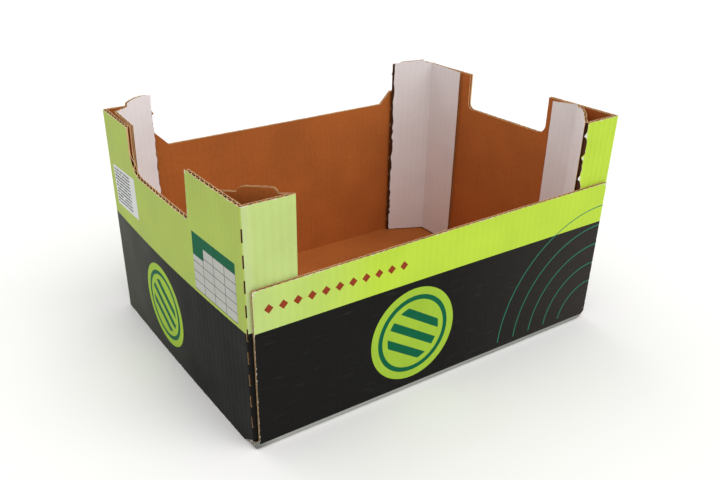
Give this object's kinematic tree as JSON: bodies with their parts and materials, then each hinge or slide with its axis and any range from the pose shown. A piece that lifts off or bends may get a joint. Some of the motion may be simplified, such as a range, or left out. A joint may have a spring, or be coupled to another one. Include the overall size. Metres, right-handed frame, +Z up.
{
  "type": "cardboard tray box",
  "caption": "Open corrugated cardboard tray with hollow corner posts, hand notches in both ends and a lower front wall.",
  "frame": {"origin": "on the floor under the middle of the box", "axes": "+X along the box from its left end to its right end, +Y from the low front wall to the rear wall, +Z up"},
  "size_m": [0.408, 0.295, 0.227],
  "materials": {
    "wrap_board": "printed corrugated board, satin",
    "end_board": "printed corrugated board, satin",
    "label_paper": "matt label paper"
  },
  "bodies": {
    "root": {"tray_wrap": "wrap_board", "left_end_piece": "end_board", "right_end_piece": "end_board", "paper_label": "label_paper"}
  },
  "joints": []
}
